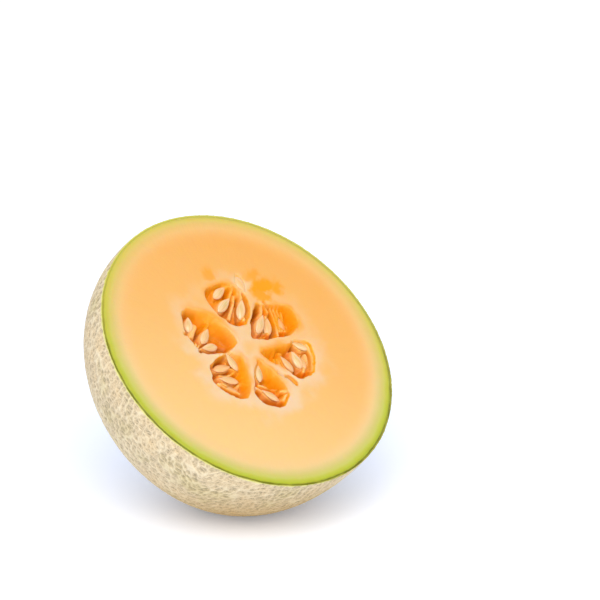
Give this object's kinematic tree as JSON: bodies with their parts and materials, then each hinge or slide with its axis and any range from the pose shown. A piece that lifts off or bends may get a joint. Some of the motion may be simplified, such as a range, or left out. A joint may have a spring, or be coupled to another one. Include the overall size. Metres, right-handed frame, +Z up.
{
  "type": "halved cantaloupe melon",
  "caption": "Halved netted cantaloupe melon with orange flesh, open seed pockets and loose seeds, resting tilted on a small flat spot of its rind.",
  "frame": {"origin": "middle of the small flat spot of the rind that the half rests on", "axes": "+Z up; the cut face is tilted 43.5 degrees from level and looks towards -Y and up; +X runs to the right across the cut face"},
  "size_m": [0.1568, 0.1411, 0.1387],
  "materials": {
    "fruit": "moist cut flesh inside a corky netted rind",
    "seed_coat": "wet, smooth, slightly translucent"
  },
  "bodies": {
    "root": {"melon_half": "fruit", "seed_01": "seed_coat", "seed_02": "seed_coat", "seed_03": "seed_coat", "seed_04": "seed_coat", "seed_05": "seed_coat", "seed_06": "seed_coat", "seed_07": "seed_coat", "seed_08": "seed_coat", "seed_09": "seed_coat", "seed_10": "seed_coat", "seed_11": "seed_coat", "seed_12": "seed_coat", "seed_13": "seed_coat", "seed_14": "seed_coat", "seed_15": "seed_coat", "seed_16": "seed_coat", "seed_17": "seed_coat", "seed_18": "seed_coat", "seed_19": "seed_coat", "seed_20": "seed_coat"}
  },
  "joints": []
}
